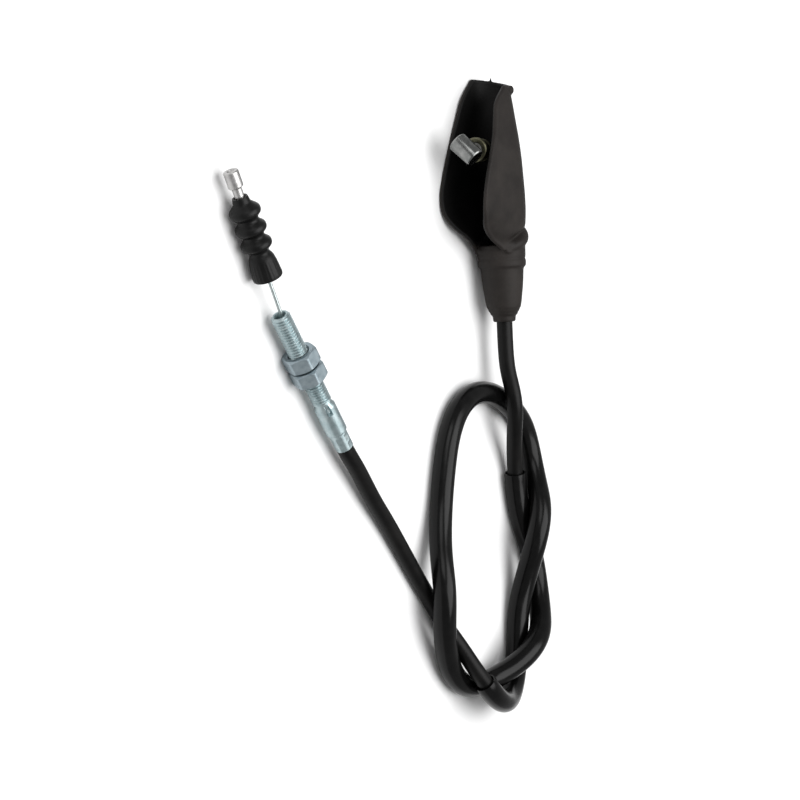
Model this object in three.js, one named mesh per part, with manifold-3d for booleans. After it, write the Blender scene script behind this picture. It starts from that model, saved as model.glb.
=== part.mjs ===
// A motorcycle clutch cable, laid on a bench with one and a half turns woven into a loop.
// Millimetres, +Z up. The bench is the plane z = 0, and the origin is the point on it below the
// middle of the cable's two end assemblies. The lever end lies along +Y, on the +X side.

import * as THREE from "three";
import { mergeVertices } from "three/addons/utils/BufferGeometryUtils.js";
import Module from "manifold-3d";

// ---------------------------------------------------------------- driving sizes

const clearance = 0.3; // between pieces that touch or nest

const layerGap = 0.35; // between the casing's layers, which bend together
const runningGap = 0.4; // between the core and the liner it runs in
const sleeveGap = 0.6; // between the casing and the loose sleeve

/** A tube around something of the given radius. */
function around(inner, gap, wall) {
  return { bore: inner + gap, radius: inner + gap + wall };
}

const wire = { radius: 0.75 }; // stranded steel core, bare where it shows
const liner = around(wire.radius, runningGap, 0.6); // slippery plastic tube
const spiral = around(liner.radius, layerGap, 0.4); // flat steel strip wound into a conduit
const jacket = around(spiral.radius, layerGap, 0.65); // black outer cover of the casing
const sleeve = around(jacket.radius, sleeveGap, 0.8); // loose glossy tube over the coiled part
const travel = 8; // how far the core is pulled through the casing

const thread = { radius: 4, length: 44, tipChamfer: 0.8, bore: 2.3, relief: 1.2 }; // M8 adjuster
const shoulder = { radius: 4.4, length: 15, taper: 1.6 };
const tail = { radius: 3.75, length: 8, acrossFlats: 7.1 };
const punchMark = { width: 2.2, length: 3.2, depth: 0.6, fromThread: 2.8 };
const nut = { acrossFlats: 13, thickness: 6.5, chamfer: 0.55, gap: 0.8, upperCentre: 21.5 };

const endNipple = { radius: 3, length: 6.9, chamfer: 0.4, neckRadius: 1.95, neckShown: 4, recessRadius: 1.5,
  recessDepth: 0.8 };
const bellows = { wall: 0.9, collarGrip: 3, length: 34.5, bulgeRadius: 6.3, waistRadius: 4.3, lastWaist: 3.9,
  skirtRadius: 5.9, firstBulge: 6.4, pitch: 6.8, skirtLength: 9.6 };
const shownWire = 15.5; // bare core between the adjuster's tip and the bellows
const wireInTip = 4; // bare core inside the adjuster's mouth at rest

const barrel = { radius: 4.4, length: 11.5, chamfer: 0.5 }; // nipple that the lever holds
const ferruleBody = around(jacket.radius, clearance, 1.1);
const ferrule = { flange: 0.5, length: 8, endWall: 3, rim: 2, groove: 0.5 };
const coreAtLever = { shown: 4.3, inFerrule: 9.5 }; // bare core before and behind the ferrule's face
const faceInsert = { radius: 3.1, thickness: 1.7, edge: 0.25 }; // guide let into the ferrule's face
const socketDepth = 3; // how far a core's end sits inside its nipple

const bootNeckTube = around(jacket.radius, clearance, 1.1);
const boot = { wall: 1.8, neckLength: 3, sleeveRadius: 8.9, ringRadius: 10.7, ringFrom: 25, ringTo: 34 };
// The hood's upper end is cut off square to its spine, but lower on the side away from the bench.
const hoodCut = { slope: 0.23, from: 71, to: 104, lowest: -11 };

// ---------------------------------------------------------------- places on the bench

const adjusterTip = new THREE.Vector3(-67.5, -25.5, nut.acrossFlats / 2);
const adjusterTurn = THREE.MathUtils.degToRad(40); // of its axis, from +Y towards -X
const wireTurn = THREE.MathUtils.degToRad(31); // the bare core leans in the adjuster's mouth
const wireLean = 1.1; // how far off the adjuster's axis the core crosses its tip
const bootNeck = new THREE.Vector3(90, -23.8, 11);
const bootTurn = THREE.MathUtils.degToRad(5);
const barrelRoll = THREE.MathUtils.degToRad(-44); // the barrel's slant about the pulled core

// The casing's centreline after the adjuster, chosen by hand. The casing lies on the bench with its
// centre at its own radius, the sleeved part at the sleeve's radius, and each crossing is a low hump.
const routePoints = [
  [-15.2, -85.7, 6.1], [-2.6, -98.0, 4.8], [10.2, -109.5, 3.9], [29.0, -129.0, 3.5],
  [42.0, -142.5, 3.5], [49.0, -149.8, 3.7], [55.3, -157.2, 5.2], [59.9, -164.8, 8.6],
  [63.6, -172.6, 12.2], [69.0, -180.0, 14.9], [76.2, -185.8, 15.0], [84.5, -189.0, 13.6],
  [93.2, -189.2, 11.0], [101.0, -185.9, 8.2], [107.0, -179.8, 6.0], [110.3, -171.4, 4.9],
  [110.9, -162.0, 4.9], [111.4, -151.0, 5.3], [112.6, -140.6, 7.2], [112.3, -131.0, 10.4],
  [111.6, -122.0, 13.8], [112.9, -113.2, 15.3], [115.7, -104.6, 14.1], [118.9, -96.0, 10.2],
  [121.0, -87.0, 6.7], [120.4, -78.6, 5.1], [117.0, -71.0, 4.9], [111.0, -64.8, 4.9],
  [99.5, -58.4, 4.9], [86.5, -54.8, 4.9], [73.2, -55.6, 4.9], [62.2, -62.0, 4.9],
  [55.0, -73.0, 4.9], [51.0, -88.0, 4.9], [48.2, -104.5, 5.2], [44.3, -118.0, 7.4],
  [40.8, -128.0, 10.6], [39.6, -137.0, 12.6], [40.0, -146.0, 12.5], [43.0, -155.0, 10.4],
  [48.6, -164.2, 7.6], [55.2, -172.8, 5.6], [64.0, -179.4, 4.9], [74.0, -181.8, 4.9],
  [83.0, -181.0, 5.6], [91.4, -178.0, 8.6], [99.0, -173.4, 12.6], [106.6, -167.6, 15.3],
  [114.4, -161.0, 14.6], [120.8, -153.6, 11.0], [124.8, -144.6, 7.4], [125.8, -134.6, 5.2],
  [122.8, -125.0, 4.9], [117.4, -116.6, 4.9], [112.8, -108.0, 4.9], [109.9, -98.0, 4.9],
  [107.2, -88.0, 5.8], [103.1, -79.0, 8.0], [98.2, -70.4, 11.2], [94.3, -61.0, 13.9],
  [92.7, -52.6, 13.3], [92.0, -45.6, 11.5], [91.2, -37.6, 11.0], [90.0, -23.8, 11.0],
];
// Inside the boot, in the boot's own axes: through the neck, up the sleeve, then a bend out of its mouth.
const bootRoute = { sleeveOffset: 2, bendFrom: 56.5, bendRadius: 18 };
const bendAngle = THREE.MathUtils.degToRad(90);
const bendTilt = THREE.MathUtils.degToRad(8); // the bend's plane, lifted at the boot's mouth

const stationPitch = 12; // between the rings of each tube along the route
const sleeveFirst = 16; // station where the loose sleeve's mouth is
const sleeveLast = 57; // station where it ends, before the boot

// ---------------------------------------------------------------- solid helpers

const wasm = await Module();
wasm.setup();

/** A three.js geometry with only welded positions and an index. */
function welded(geometry) {
  const bare = geometry.clone();
  bare.deleteAttribute("normal");
  bare.deleteAttribute("uv");
  return mergeVertices(bare, 1e-4);
}

function toSolid(geometry) {
  const bare = welded(geometry);
  return new wasm.Manifold(new wasm.Mesh({
    numProp: 3,
    vertProperties: new Float32Array(bare.attributes.position.array),
    triVerts: new Uint32Array(bare.index.array),
  }));
}

function toGeometry(solid) {
  const mesh = solid.simplify(0.01).getMesh();
  const geometry = new THREE.BufferGeometry();
  geometry.setAttribute("position", new THREE.BufferAttribute(new Float32Array(mesh.vertProperties), 3));
  geometry.setIndex(new THREE.BufferAttribute(new Uint32Array(mesh.triVerts), 1));
  geometry.computeVertexNormals();
  return geometry;
}

/** A turned piece about local Y. profile lists [radius, y] and closes on the axis or on itself. */
function turned(profile, segments) {
  const points = profile.map(([radius, y]) => new THREE.Vector2(radius, y));
  return new THREE.LatheGeometry(points, segments);
}

/** A turned ring whose profile closes on itself. */
function turnedRing(profile, segments) {
  return turned([...profile, profile[0]], segments);
}

/** A regular polygon's shape, with a bore of the same sides if one is given. */
function polygonShape(radius, sides, bore) {
  const ring = (size) => Array.from({ length: sides }, (_, i) => {
    const angle = (2 * Math.PI * (i + 0.5)) / sides;
    return new THREE.Vector2(size * Math.cos(angle), size * Math.sin(angle));
  });
  const shape = new THREE.Shape(ring(radius));
  if (bore) shape.holes.push(new THREE.Path(ring(bore).reverse()));
  return shape;
}

function finish(color, roughness, metalness = 0) {
  return new THREE.MeshStandardMaterial({ color, roughness, metalness });
}

const materials = {
  jacket: finish(0x141414, 0.5),
  sleeve: finish(0x0c0c0c, 0.22),
  rubber: finish(0x1a1918, 0.6),
  bootRubber: finish(0x2b2826, 0.65),
  zinc: finish(0xb9c6ca, 0.35, 1),
  brightZinc: finish(0xcfd2d0, 0.25, 1),
  yellowZinc: finish(0x8f8c63, 0.4, 1),
  insert: finish(0x8a8a86, 0.5),
  steelWire: finish(0xb4bdbd, 0.35, 1),
  spiralSteel: finish(0x8d9194, 0.45, 1),
  liner: finish(0xe8e6de, 0.5),
};

function piece(name, geometry, material) {
  const mesh = new THREE.Mesh(geometry.attributes.uv ? welded(geometry) : geometry, material);
  mesh.name = name;
  return mesh;
}

// ---------------------------------------------------------------- the route

const alongTurn = (turn) => new THREE.Vector3(-Math.sin(turn), Math.cos(turn), 0);
const adjusterAxis = alongTurn(adjusterTurn); // towards the tip
const adjusterLength = thread.length + shoulder.length + tail.length;
const onAdjuster = (fromTip) => adjusterTip.clone().addScaledVector(adjusterAxis, -fromTip);

/** A point in the boot's axes (y along it from its neck, x away from its mouth) as a bench point. */
function onBoot(x, y, z = 0) {
  return new THREE.Vector3(x, y, z).applyAxisAngle(new THREE.Vector3(0, 0, 1), bootTurn).add(bootNeck);
}

/** A point on the bend inside the boot, at an angle round it. */
function onBend(angle) {
  const inwards = bootRoute.bendRadius * (1 - Math.cos(angle));
  return onBoot(bootRoute.sleeveOffset - inwards * Math.cos(bendTilt),
    bootRoute.bendFrom + bootRoute.bendRadius * Math.sin(angle), inwards * Math.sin(bendTilt));
}

// The lever end's own axes: local Y along the pull, at the end of the bend.
const leverTurn = new THREE.Matrix4().makeRotationZ(bootTurn)
  .multiply(new THREE.Matrix4().makeRotationY(bendTilt))
  .multiply(new THREE.Matrix4().makeRotationZ(bendAngle));
const ferruleAxis = new THREE.Vector3(0, 1, 0).applyMatrix4(leverTurn); // the way the core is pulled
const bendEnd = onBend(bendAngle);
const casingInFerrule = ferrule.length - ferrule.endWall - clearance;
const bendSteps = 5;

const wireRunStart = wireInTip + travel + 3; // from the tip, past the sliding core's deepest end
const tailEnd = adjusterLength - wireRunStart; // along the route, where the adjuster's tail ends
const coverStart = tailEnd + clearance; // along the route, where the casing's cover begins
const route = new THREE.CatmullRomCurve3([
  onAdjuster(wireRunStart), onAdjuster(adjusterLength - tail.length * 2),
  onAdjuster(adjusterLength - tail.length / 2), onAdjuster(adjusterLength + 3),
  ...routePoints.map((point) => new THREE.Vector3(...point)),
  onBoot(0, 11), onBoot(bootRoute.sleeveOffset * 0.4, 24), onBoot(bootRoute.sleeveOffset * 0.8, 38),
  onBoot(bootRoute.sleeveOffset, bootRoute.bendFrom - 6),
  ...Array.from({ length: bendSteps + 1 }, (_, i) => onBend((bendAngle * i) / bendSteps)),
  bendEnd.clone().addScaledVector(ferruleAxis, casingInFerrule / 2),
  bendEnd.clone().addScaledVector(ferruleAxis, casingInFerrule),
], false, "centripetal");
route.arcLengthDivisions = 4000;

/** Part of the route, sampled at its ends and at the stations that every tube shares. */
class Stretch extends THREE.Curve {
  constructor(from, to) {
    super();
    const inner = [coverStart];
    for (let arc = stationPitch; arc < to; arc += stationPitch) inner.push(arc);
    inner.sort((a, b) => a - b);
    this.stations = [from, ...inner.filter((arc) => arc > from && arc < to), to];
    this.steps = this.stations.length - 1;
  }
  arc(u) {
    const place = Math.min(Math.max(u, 0), 1) * this.steps;
    const i = Math.min(Math.floor(place), this.steps - 1);
    return THREE.MathUtils.lerp(this.stations[i], this.stations[i + 1], place - i) / route.getLength();
  }
  getPoint(u, target = new THREE.Vector3()) {
    return target.copy(route.getPointAt(Math.min(this.arc(u), 1)));
  }
  getPointAt(u, target) {
    return this.getPoint(u, target);
  }
  getTangentAt(u, target = new THREE.Vector3()) {
    return target.copy(route.getTangentAt(Math.min(this.arc(u), 1)));
  }
}

function tube(radius, bore, sides, from, to) {
  const path = new Stretch(from, to);
  return new THREE.ExtrudeGeometry(polygonShape(radius, sides, bore), {
    steps: path.steps, bevelEnabled: false, extrudePath: path });
}

// ---------------------------------------------------------------- casing

const spiralStart = tailEnd - tail.length + clearance;
const routeEnd = route.getLength();
const stubInCasing = coreAtLever.inFerrule - ferrule.endWall - clearance; // the pulled core's straight end
const wireRunEnd = routeEnd - stubInCasing - clearance;

function makeCasing() {
  const group = new THREE.Group();
  const cover = tube(jacket.radius, jacket.bore, 10, coverStart, routeEnd);
  const strip = tube(spiral.radius, spiral.bore, 8, spiralStart, routeEnd);
  group.add(piece("casing_jacket", cover, materials.jacket));
  group.add(piece("casing_spiral", strip, materials.spiralSteel));
  group.add(piece("casing_liner", tube(liner.radius, liner.bore, 8, spiralStart, routeEnd), materials.liner));
  group.add(piece("inner_wire_run", tube(wire.radius, 0, 8, 0, wireRunEnd), materials.steelWire));
  const sleeveEnds = [sleeveFirst * stationPitch, sleeveLast * stationPitch];
  const sleeveTube = tube(sleeve.radius, sleeve.bore, 12, ...sleeveEnds);
  group.add(piece("loose_sleeve", sleeveTube, materials.sleeve));
  return group;
}

// ---------------------------------------------------------------- adjuster end

const turnedSides = 32;

/** The adjuster, from its tip at y = 0 down to its crimped tail at -Y. */
function adjusterBarrel() {
  const shoulderTop = -thread.length;
  const shoulderEnd = shoulderTop - shoulder.length;
  const tailBore = spiral.radius + clearance;
  const outline = turnedRing([
    [thread.bore, 0], [thread.radius - thread.tipChamfer, 0], [thread.radius, -thread.tipChamfer],
    [thread.radius, shoulderTop + thread.relief],
    [thread.radius - 0.5, shoulderTop + thread.relief - 0.4],
    [thread.radius - 0.5, shoulderTop], [shoulder.radius, shoulderTop - shoulder.taper],
    [shoulder.radius, shoulderEnd + 1], [tail.radius, shoulderEnd], [tail.radius, -adjusterLength],
    [tailBore, -adjusterLength], [tailBore, shoulderEnd], [thread.bore, shoulderEnd],
  ].reverse(), turnedSides);
  const crimp = new THREE.CylinderGeometry(
    tail.acrossFlats / Math.sqrt(3), tail.acrossFlats / Math.sqrt(3), tail.length - 1, 6);
  crimp.translate(0, -adjusterLength + (tail.length - 1) / 2, 0);
  const beyond = new THREE.CylinderGeometry(2 * nut.acrossFlats, 2 * nut.acrossFlats, tail.length - 1, 12);
  beyond.translate(0, -adjusterLength + (tail.length - 1) / 2, 0);
  const mark = new THREE.BoxGeometry(punchMark.depth * 2, punchMark.length, punchMark.width);
  mark.translate(-shoulder.radius, shoulderTop - punchMark.fromThread, 0);
  mark.rotateY(THREE.MathUtils.degToRad(-38));
  const pressed = toSolid(beyond).subtract(toSolid(crimp));
  return toGeometry(toSolid(outline).subtract(pressed).subtract(toSolid(mark)));
}

/** A hexagon nut about local Y with its lowest flat level, centred on the origin. */
function hexNut() {
  const corner = nut.acrossFlats / Math.sqrt(3);
  const half = nut.thickness / 2;
  const hexagon = new THREE.CylinderGeometry(corner, corner, nut.thickness, 6);
  hexagon.rotateY(Math.PI / 6);
  const flatRadius = nut.acrossFlats / 2;
  const chamfered = turnedRing([
    [thread.radius + clearance, -half], [flatRadius, -half], [corner + 0.1, -half + nut.chamfer * 1.9],
    [corner + 0.1, half - nut.chamfer * 1.9], [flatRadius, half], [thread.radius + clearance, half],
  ], turnedSides);
  return toGeometry(toSolid(hexagon).intersect(toSolid(chamfered)));
}

/** The cylinder-headed nipple, with its head's end face at y = 0 and its neck down at -Y. */
function cylinderNipple() {
  const neckEnd = -endNipple.length - endNipple.neckShown - bellows.collarGrip;
  const socket = wire.radius + clearance;
  return turned([
    [0, neckEnd + socketDepth], [socket, neckEnd + socketDepth], [socket, neckEnd],
    [endNipple.neckRadius, neckEnd], [endNipple.neckRadius, -endNipple.length],
    [endNipple.radius, -endNipple.length],
    [endNipple.radius, -endNipple.chamfer], [endNipple.radius - endNipple.chamfer, 0],
    [endNipple.recessRadius, 0], [endNipple.recessRadius, -endNipple.recessDepth],
    [0, -endNipple.recessDepth],
  ], turnedSides);
}

/** The rubber bellows, its collar's end at y = 0 and its skirt down at -Y, open at both ends. */
function bellowsBody() {
  const outer = [[endNipple.neckRadius + clearance + bellows.wall, 0], [3.4, -2.4]];
  for (let i = 0; i < 3; i += 1) {
    const y = -bellows.firstBulge - i * bellows.pitch;
    const waist = i < 2 ? bellows.waistRadius : bellows.lastWaist;
    outer.push([bellows.bulgeRadius - 0.5, y + 1.5], [bellows.bulgeRadius, y]);
    outer.push([bellows.bulgeRadius - 0.5, y - 1.5]);
    outer.push([waist, y - bellows.pitch / 2]);
  }
  outer.push([bellows.skirtRadius - 0.6, -bellows.length + bellows.skirtLength - 1.2],
    [bellows.skirtRadius, -bellows.length + bellows.skirtLength - 3.4],
    [bellows.skirtRadius, -bellows.length + 2],
    [bellows.skirtRadius - 1, -bellows.length]);
  const grip = endNipple.neckRadius + clearance;
  const inner = outer.slice(2).map(([radius, y]) => [radius - bellows.wall, y]);
  const collar = [[grip, -bellows.collarGrip - clearance], [grip, 0]];
  return turnedRing([...outer, ...inner.reverse(), ...collar].reverse(), 24);
}

function makeAdjusterEnd() {
  const group = new THREE.Group();
  group.position.copy(adjusterTip);
  group.rotation.z = adjusterTurn;
  group.add(piece("adjuster_barrel", adjusterBarrel(), materials.zinc));
  const nutPitch = nut.thickness + nut.gap;
  ["lock_nut_upper", "lock_nut_lower"].forEach((name, i) => {
    const mesh = piece(name, hexNut(), materials.zinc);
    mesh.position.y = -nut.upperCentre - i * nutPitch;
    group.add(mesh);
  });
  return group;
}

function makeLowerWire() {
  const group = new THREE.Group();
  const sideways = alongTurn(adjusterTurn - Math.PI / 2);
  group.position.copy(adjusterTip).addScaledVector(sideways, wireLean);
  group.rotation.z = wireTurn;
  const collarEnd = shownWire + bellows.length;
  const headEnd = collarEnd + endNipple.neckShown + endNipple.length;
  const core = collarEnd - bellows.collarGrip + socketDepth - clearance + wireInTip;
  const rod = new THREE.CylinderGeometry(wire.radius, wire.radius, core, 12);
  rod.translate(0, core / 2 - wireInTip, 0);
  group.add(piece("lower_wire", rod, materials.steelWire));
  const skin = piece("bellows", bellowsBody(), materials.rubber);
  skin.position.y = collarEnd;
  const nipple = piece("end_nipple", cylinderNipple(), materials.brightZinc);
  nipple.position.y = headEnd;
  group.add(skin, nipple);
  return group;
}

// ---------------------------------------------------------------- lever end

/** The cap on the casing's end, its face at y = 0 and its open end down at -Y. */
function ferruleCap() {
  const rimRadius = ferruleBody.radius + ferrule.flange;
  const grooveRadius = ferruleBody.radius - ferrule.groove;
  const pocket = faceInsert.radius + clearance;
  const pocketFloor = -faceInsert.thickness - clearance;
  return turnedRing([
    [wire.radius + clearance, pocketFloor], [pocket, pocketFloor], [pocket, 0],
    [rimRadius - 0.5, 0], [rimRadius, -0.5], [rimRadius, -ferrule.rim],
    [grooveRadius, -ferrule.rim - 0.3], [grooveRadius, -ferrule.rim - 1],
    [ferruleBody.radius, -ferrule.rim - 1.4], [ferruleBody.radius, -ferrule.length + 0.6],
    [ferruleBody.radius - 0.4, -ferrule.length], [ferruleBody.bore, -ferrule.length],
    [ferruleBody.bore, -ferrule.endWall],
    [wire.radius + clearance, -ferrule.endWall],
  ].reverse(), turnedSides);
}

function makeLeverEnd() {
  const group = new THREE.Group();
  group.position.copy(bendEnd).addScaledVector(ferruleAxis, ferrule.length);
  group.setRotationFromMatrix(leverTurn);
  group.add(piece("lever_ferrule", ferruleCap(), materials.yellowZinc));
  const bore = wire.radius + clearance;
  const insert = turnedRing([
    [bore, -faceInsert.thickness], [faceInsert.radius, -faceInsert.thickness],
    [faceInsert.radius, -faceInsert.edge], [faceInsert.radius - faceInsert.edge, 0],
    [bore + faceInsert.edge, 0], [bore, -faceInsert.edge],
  ], turnedSides);
  group.add(piece("ferrule_insert", insert, materials.insert));
  const barrelCentre = coreAtLever.shown + barrel.radius;
  const half = barrel.length / 2;
  const round = turned([
    [0, -half], [barrel.radius - barrel.chamfer, -half], [barrel.radius, -half + barrel.chamfer],
    [barrel.radius, half - barrel.chamfer], [barrel.radius - barrel.chamfer, half], [0, half],
  ], turnedSides);
  round.rotateX(Math.PI / 2);
  round.rotateY(barrelRoll);
  const socket = new THREE.CylinderGeometry(bore, bore, 2 * barrel.radius, 16);
  socket.translate(0, -barrel.radius - barrel.radius + socketDepth, 0);
  const drilled = toGeometry(toSolid(round).subtract(toSolid(socket)));
  const nipple = piece("barrel_nipple", drilled, materials.brightZinc);
  nipple.position.y = barrelCentre;
  const stubTop = barrelCentre - barrel.radius + socketDepth - clearance;
  const stubLength = stubTop + coreAtLever.inFerrule;
  const stub = new THREE.CylinderGeometry(wire.radius, wire.radius, stubLength, 12);
  stub.translate(0, stubTop - stubLength / 2, 0);
  group.add(nipple, piece("lever_wire", stub, materials.steelWire));
  return group;
}

// The hood's section at each distance up the boot: its lips' x, its spine's x, its half height at the
// spine, its half height at the lips, and its middle height.
const hoodSections = [
  [30, -8, 10.4, 9.8, 8.6, 0], [33, -11, 10.4, 10.3, 7.8, 0], [36, -16, 10.2, 10.8, 7, 0.2],
  [41, -24, 9.9, 11.3, 8.2, 0.5], [47, -29, 9.6, 11.8, 10.8, 0.9], [55, -30, 9.3, 12, 12, 1],
  [63, -27.5, 8.6, 12, 12, 1], [71, -24, 8, 11.9, 11.9, 0.9], [80, -19.5, 7.4, 11.5, 11.5, 0.5],
  [89, -15, 7.4, 10.7, 10.4, -0.3], [97, -10.5, 7.8, 9.9, 9.4, -1.1], [105, -2, 8.2, 9, 9, -2],
];

/** One hood section as a closed loop: out along the skin from lip to lip, then back along the lining. */
function hoodLoop([y, lip, spine, half, lipHalf, mid], arcSteps) {
  const centreX = spine - half;
  const share = (y - hoodCut.from) / (hoodCut.to - hoodCut.from);
  const cut = hoodCut.slope * THREE.MathUtils.clamp(share, 0, 1) ** 2;
  const side = (inset) => {
    const points = [];
    const flap = [1, 0.66, 0.33];
    flap.forEach((part) => {
      const reach = half + (lipHalf - half) * part ** 2 - inset;
      points.push([lip * part + centreX * (1 - part), reach]);
    });
    for (let i = 0; i <= arcSteps; i += 1) {
      const angle = Math.PI / 2 - (Math.PI * i) / arcSteps;
      points.push([centreX + (half - inset) * Math.cos(angle), (half - inset) * Math.sin(angle)]);
    }
    return [...points, ...points.slice(0, flap.length).reverse().map(([x, z]) => [x, -z])];
  };
  return [...side(0), ...side(boot.wall).reverse()].map(([x, z]) => (
    new THREE.Vector3(x, y - cut * (mid + z - hoodCut.lowest), mid + z)));
}

/** A closed skin over equal loops, with each end closed by strips between the loop's two halves. */
function lofted(loops) {
  const count = loops[0].length;
  const corners = loops.flat();
  const faces = [];
  const quad = (a, b, c, d) => faces.push(a, b, c, a, c, d);
  for (let ring = 0; ring < loops.length - 1; ring += 1) {
    for (let i = 0; i < count; i += 1) {
      const next = (i + 1) % count;
      quad(ring * count + i, ring * count + next, (ring + 1) * count + next, (ring + 1) * count + i);
    }
  }
  const last = (loops.length - 1) * count;
  for (let i = 0; i < count / 2 - 1; i += 1) {
    quad(i, count - 1 - i, count - 2 - i, i + 1);
    quad(last + i, last + i + 1, last + count - 2 - i, last + count - 1 - i);
  }
  const geometry = new THREE.BufferGeometry();
  const flat = corners.flatMap((corner) => [corner.x, corner.y, corner.z]);
  geometry.setAttribute("position", new THREE.Float32BufferAttribute(flat, 3));
  geometry.setIndex(faces);
  return geometry;
}

/** The boot in its own axes: stepped neck, tapered sleeve, ringed collar and the open hood. */
function bootBody() {
  const neckBore = bootNeckTube.bore;
  const neckRadius = bootNeckTube.radius;
  const cavity = boot.sleeveRadius - boot.wall;
  const lower = turnedRing([
    [neckBore, 0], [neckRadius, 0], [neckRadius + 0.7, boot.neckLength],
    [boot.sleeveRadius - 2.4, boot.neckLength + 1],
    [boot.sleeveRadius - 1.2, 7.4], [boot.sleeveRadius, 15], [boot.sleeveRadius + 0.5, 24],
    [boot.ringRadius, boot.ringFrom], [boot.ringRadius, boot.ringTo],
    [boot.ringRadius - boot.wall, boot.ringTo], [cavity + 0.4, 24], [cavity - 0.4, 12], [neckBore, 7],
  ], turnedSides);
  const hood = lofted(hoodSections.map((section) => hoodLoop(section, 10)));
  return toGeometry(toSolid(lower).add(toSolid(hood)));
}

function makeBoot() {
  const group = new THREE.Group();
  group.position.copy(bootNeck);
  group.rotation.z = bootTurn;
  group.add(piece("lever_boot", bootBody(), materials.bootRubber));
  return group;
}

// ---------------------------------------------------------------- the cable

const cable = new THREE.Group();
cable.add(makeCasing(), makeAdjusterEnd(), makeLowerWire(), makeLeverEnd(), makeBoot());

export default cable;
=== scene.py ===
"""A motorcycle clutch cable, laid on a bench with its sleeved part woven into a loop.

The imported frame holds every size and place; this script dresses it. Lengths are metres, the bench is
the plane z = 0, the lever end lies along +Y and the adjuster end lies on the -X side.
"""

from __future__ import annotations

import logging
import math
from collections.abc import Callable, Sequence
from dataclasses import dataclass, field
from enum import Enum

import bpy
import numpy as np
from mathutils import Matrix, Vector


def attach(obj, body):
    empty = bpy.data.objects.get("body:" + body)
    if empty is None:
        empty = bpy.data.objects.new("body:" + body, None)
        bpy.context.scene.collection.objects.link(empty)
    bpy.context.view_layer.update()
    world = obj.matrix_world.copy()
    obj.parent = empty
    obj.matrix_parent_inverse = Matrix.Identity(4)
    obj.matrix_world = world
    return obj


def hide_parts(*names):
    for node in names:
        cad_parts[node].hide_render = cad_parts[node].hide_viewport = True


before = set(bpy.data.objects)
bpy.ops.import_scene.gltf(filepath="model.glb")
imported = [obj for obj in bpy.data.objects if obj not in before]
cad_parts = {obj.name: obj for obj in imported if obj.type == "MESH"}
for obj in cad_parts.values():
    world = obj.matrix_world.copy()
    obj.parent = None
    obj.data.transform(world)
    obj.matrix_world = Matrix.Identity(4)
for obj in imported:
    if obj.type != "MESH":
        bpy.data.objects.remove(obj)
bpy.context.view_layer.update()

log = logging.getLogger("clutch_cable")

MM = 0.001
# Name of the point attribute that marks where painted shade darkens the inside of the boot's hood.
LINING_SHADE_ATTRIBUTE = "painted_lining_shade"


# ---------------------------------------------------------------- mesh tools


class Ends(Enum):
    """How a stack of rings is finished at its two ends."""

    CAPPED = "each end has a flat cap"
    JOINED = "the last ring meets the first"
    OPEN = "both ends stay open"


def mesh_object(name: str, corners: np.ndarray, faces: Sequence[Sequence[int]]) -> bpy.types.Object:
    """Makes an object from corners and faces and links it to the scene.

    Args:
        name: The object's name.
        corners: Points, one row each, in metres.
        faces: Corner indices of each face.

    Returns:
        The new object.
    """
    data = bpy.data.meshes.new(name)
    data.from_pydata(np.asarray(corners).tolist(), [], faces)
    data.validate()
    data.update()
    made = bpy.data.objects.new(name, data)
    bpy.context.scene.collection.objects.link(made)
    return made


def skinned(name: str, rings: np.ndarray, ends: Ends = Ends.JOINED) -> bpy.types.Object:
    """Skins a stack of closed rings that have equal counts of points.

    Args:
        name: The object's name.
        rings: Array of shape (rings, points, 3).
        ends: How the first and last rings are finished.

    Returns:
        The new object, its normals facing out.
    """
    count, around = rings.shape[:2]
    spans = count if ends is Ends.JOINED else count - 1
    faces = []
    for i in range(spans):
        low = i * around
        high = ((i + 1) % count) * around
        for j in range(around):
            k = (j + 1) % around
            faces.append((low + j, low + k, high + k, high + j))
    if ends is Ends.CAPPED:
        faces.append(tuple(range(around))[::-1])
        faces.append(tuple((count - 1) * around + j for j in range(around)))
    made = mesh_object(name, rings.reshape(-1, 3), faces)
    return outward(made)


def outward(piece: bpy.types.Object) -> bpy.types.Object:
    """Turns a closed piece's faces outwards, judged by its signed volume."""
    data = piece.data
    data.calc_loop_triangles()
    points = np.array([v.co for v in data.vertices])
    corners = points[[t.vertices[:] for t in data.loop_triangles]]
    volume = np.einsum("ij,ij->i", corners[:, 0], np.cross(corners[:, 1], corners[:, 2])).sum()
    if volume < 0:
        data.flip_normals()
    return piece


def smooth_shaded(piece: bpy.types.Object, crease_deg: float = 32.0) -> bpy.types.Object:
    """Shades a piece smooth, with sharp edges where its faces meet at more than the given angle."""
    piece.data.shade_smooth()
    piece.data.set_sharp_from_angle(angle=math.radians(crease_deg))
    return piece


def ring_angles(segments: int) -> np.ndarray:
    """Even angles around a turned piece."""
    return np.arange(segments) * (2.0 * math.pi / segments)


def turned_rings(profile: Sequence[tuple[float, float]], segments: int,
                 radius_at: Callable[[np.ndarray, float, float], np.ndarray] | None = None) -> np.ndarray:
    """Rings of a piece turned about local Y.

    Args:
        profile: Pairs of radius and y, in metres.
        segments: Points around each ring.
        radius_at: Gives the radius at each angle from (angles, radius, y); a plain circle if left out.

    Returns:
        Array of shape (rings, segments, 3).
    """
    angles = ring_angles(segments)
    rings = np.empty((len(profile), segments, 3))
    for i, (radius, y) in enumerate(profile):
        reach = radius_at(angles, radius, y) if radius_at else np.full(segments, radius)
        rings[i, :, 0] = reach * np.cos(angles)
        rings[i, :, 1] = y
        rings[i, :, 2] = reach * np.sin(angles)
    return rings


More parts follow.
